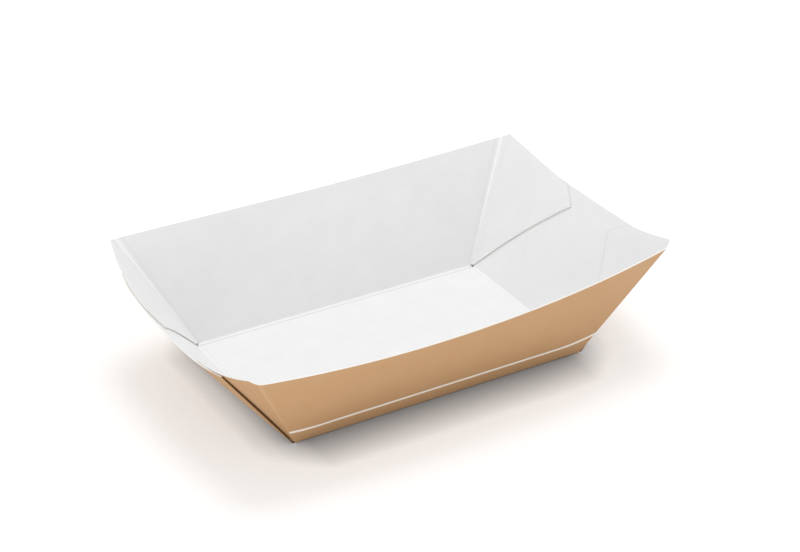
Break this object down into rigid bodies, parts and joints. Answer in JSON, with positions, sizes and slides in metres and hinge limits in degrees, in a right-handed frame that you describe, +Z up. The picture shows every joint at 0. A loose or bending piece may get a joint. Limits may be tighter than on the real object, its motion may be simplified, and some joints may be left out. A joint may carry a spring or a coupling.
{
  "type": "paper food tray",
  "caption": "Open boat-shaped food tray folded from one blank of printed paperboard, with sloping walls and glued corner flaps.",
  "frame": {"origin": "middle of the base's underside, which rests on the table", "axes": "+X along the tray's length, +Y across it, +Z up out of the open top"},
  "size_m": [0.1682, 0.1052, 0.0418],
  "materials": {
    "board": "food board, white coated inside, matt light brown print outside"
  },
  "bodies": {
    "root": {"tray": "board"}
  },
  "joints": []
}
